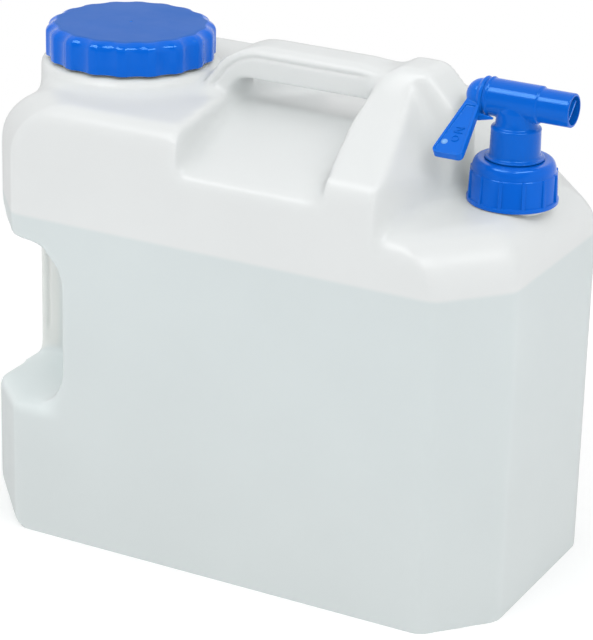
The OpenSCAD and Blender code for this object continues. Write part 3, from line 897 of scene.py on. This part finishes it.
bore = lathe([(0, 250), (12.5, 250), (12.5, 294.2), (7, 294.2), (7, axis_z), (0, axis_z)],
             64, (tap_x, 0))
way = laid([(0, 128), (9.05, 128), (9.05, 159.5), (8.8, 160), (8.8, 190), (0, 190)], 96)
notch = cube((3, 2.4, 3), (tap_x + 17.9, -7.8, 278.5))
combine(tap, "DIFFERENCE", shaped("bore", bore), shaped("bore", way),
        shaped("notch", notch))
tap.data.transform(Matrix.Scale(mm, 4))
soften(tap.data, 50)
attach(tap, "tap")
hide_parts("tap_body")
tap_blue, tree, shader, surface = plastic("tap_blue", 0.16, wave=45, grain=2000, bump=0.03)
blue(tree, shader, (0.002, 0.127, 0.66, 1), surface.outputs["Tone"])
tap.data.materials.clear()
tap.data.materials.append(tap_blue)

# ---- tap washer -----------------------------------------------------------------------
# Pale flat washer between the rim of the can's small neck and the union nut.

washer = flat_ring("tap_washer_ring", 17.3, 22.7, 270.3, 274.1, tap_x, 96)
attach(washer, "tap")
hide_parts("tap_washer")
washer.data.materials.append(foam)

# ---- key ------------------------------------------------------------------------------
# The plug that turns in the barrel, moulded in one with its domed end, its lever with a
# raised rim and the word ON, the stop fin, and the web that runs on through the nozzle.

key_x, tilt = 123, math.radians(32)
plug = laid([
    # the domed end, and the collar that turns against the barrel's bead
    *[(10.3 * math.sin(math.radians(a)), 125.5 - 10.3 * math.cos(math.radians(a)))
      for a in range(0, 91, 10)],
    (10.9, 125.6), (11.2, 126.4), (11.9, 126.8), (12.1, 127.4), (11.9, 128.0), (11.2, 128.3),
    (11.1, 128.75),
    # the plug with its two grooves
    (9, 128.75), (9, 134), (7.6, 134.1), (7.6, 135.9), (9, 136),
    (9, 157.6), (7.6, 157.7), (7.6, 159.5), (9, 159.6), (9, 161.4), (0, 161.4)], 128)


def loose(piece):
    """Takes a piece back into a bmesh."""
    made = bmesh.new()
    made.from_mesh(piece.data)
    bpy.data.objects.remove(piece)
    return made


def slab(corners, low, high):
    """A flat block with the corners (x, y, rounding), from low to high."""
    return loose(prism(corners, "xy", low, high))


def turned(shape, angle):
    """Turns a bmesh about the barrel's line, and lifts it there."""
    bmesh.ops.rotate(shape, cent=(0, 0, 0), verts=shape.verts[:],
                     matrix=Matrix.Rotation(angle, 3, "X"))
    bmesh.ops.translate(shape, vec=(0, 0, axis_z), verts=shape.verts[:])
    return shape


# the lever is laid out flat along -y, a blade with a raised rim and raised marks
tip, root = -51.5, -5
outline = [(key_x - 4.2, root, 0), (key_x - 10, tip, 3.2), (key_x + 10, tip, 3.2),
           (key_x + 4.4, root, 0)]
blade = slab(outline, -1.6, 2.4)
rim = slab(outline, 2.0, 3.7)
well = slab([(key_x - 3.0, -12, 0.5), (key_x - 8.6, tip + 1.4, 2.2),
             (key_x + 8.6, tip + 1.4, 2.2), (key_x + 3.2, -12, 0.5)], 2.4, 6)
lever = loose(combine(shaped("rim", rim), "DIFFERENCE", shaped("well", well)))
letter_o = lathe([(1.75, 2.2), (2.45, 2.2), (2.35, 3.1), (1.85, 3.1)], 40, closed=True)
bmesh.ops.translate(letter_o, vec=(key_x + 0.6, -38.5, 0), verts=letter_o.verts[:])
letter_n = bmesh.new()
for middle, run in ((-1.9, 0), (1.9, 0), (0, 3.8)):
    line = Vector((run, -4.8, 0))
    stroke = cube((0.62, line.length + 0.5, 0.9), (0, 0, 0))
    bmesh.ops.rotate(stroke, cent=(0, 0, 0), verts=stroke.verts[:],
                     matrix=Matrix.Rotation(math.atan2(line.y, line.x) - math.pi / 2, 3, "Z"))
    bmesh.ops.translate(stroke, vec=(middle, 0, 0), verts=stroke.verts[:])
    add(letter_n, stroke)
bmesh.ops.rotate(letter_n, cent=(0, 0, 0), verts=letter_n.verts[:],
                 matrix=Matrix.Rotation(math.pi / 2, 3, "Z"))
bmesh.ops.translate(letter_n, vec=(key_x + 0.6, -31.8, 2.65), verts=letter_n.verts[:])
spot_x, spot_y = key_x - 4.9, -42
spot = lathe([(0, 2.2), (1.9, 2.2), (1.8, 2.6), (1.3, 2.9), (0.7, 3.05), (0, 3.1)], 32)
bmesh.ops.translate(spot, vec=(spot_x, spot_y, 0), verts=spot.verts[:])
marks = turned(add(letter_o, spot, letter_n), tilt)
fin = loose(prism([(key_x + 1, 305, 0.3), (key_x + 14, 303.1, 0.3), (key_x + 14, 301.9, 0.3),
                   (key_x + 1, 298.9, 0.3)], "xz", -10.9, -9.6))
web = slab([(tap_x - 12, -6.8, 0), (tap_x - 12, 6.8, 0), (183.3, 6.8, 0), (183.3, -6.8, 0)],
           -0.6, 0.6)
key = fused("key_moulding", add(plug, turned(add(lever, blade), tilt), fin,
                                turned(web, math.radians(45))), 0.3, 2)
marks.from_mesh(key.data)
marks.to_mesh(key.data)
marks.free()
key.data.transform(Matrix.Scale(mm, 4))
soften(key.data, 50)
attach(key, "key")
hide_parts("tap_key")
key_blue, tree, shader, surface = plastic("key_blue", 0.18, wave=45, grain=2000, bump=0.03)
# the raised spot beside the word is painted paler, a painted highlight on it
where = node(tree, "ShaderNodeTexCoord", (-1300, 600))
far = node(tree, "ShaderNodeVectorMath", (-1100, 600), operation="DISTANCE")
tree.links.new(where.outputs["Object"], far.inputs[0])
spot_at = Matrix.Rotation(tilt, 3, "X") @ Vector((spot_x, spot_y, 2.6))
far.inputs[1].default_value = (spot_at + Vector((0, 0, axis_z))) * mm
glint_mask = span(tree, far.outputs["Value"], 0.0017, 0.0023, (-900, 600), 1.0, 0.0)
glint_blue = blend(tree, glint_mask, (0.003, 0.145, 0.73, 1), (0.22, 0.46, 0.90, 1), (-600, 600))
blue(tree, shader, glint_blue, surface.outputs["Tone"])
key.data.materials.clear()
key.data.materials.append(key_blue)

# ---- plug rings -----------------------------------------------------------------------
# Two black rubber rings in the plug's grooves, which seal it in the barrel.

shape = bmesh.new()
for place in (135, 158.6):
    ring = bmesh.new()
    bmesh.ops.create_circle(ring, segments=16, radius=0.7,
                            matrix=Matrix.Translation((place, 0, 8.32))
                            @ Matrix.Rotation(math.radians(90), 4, "X"))
    bmesh.ops.spin(ring, geom=ring.verts[:] + ring.edges[:], cent=(0, 0, 0), axis=(1, 0, 0),
                   angle=math.tau, steps=72, use_merge=True)
    bmesh.ops.recalc_face_normals(ring, faces=ring.faces[:])
    bmesh.ops.translate(ring, vec=(0, 0, axis_z), verts=ring.verts[:])
    add(shape, ring)
rings = shaped("plug_rings", to_metres(shape), 60)
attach(rings, "key")
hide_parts("key_rings")
rubber, tree, shader, surface = plastic("rubber", 0.5, wave=60, grain=3000, bump=0.1)
feed(tree, shader.inputs["Base Color"],
     toned(tree, (0.014, 0.014, 0.015, 1), surface.outputs["Tone"], (-300, 300)))
rings.data.materials.append(rubber)
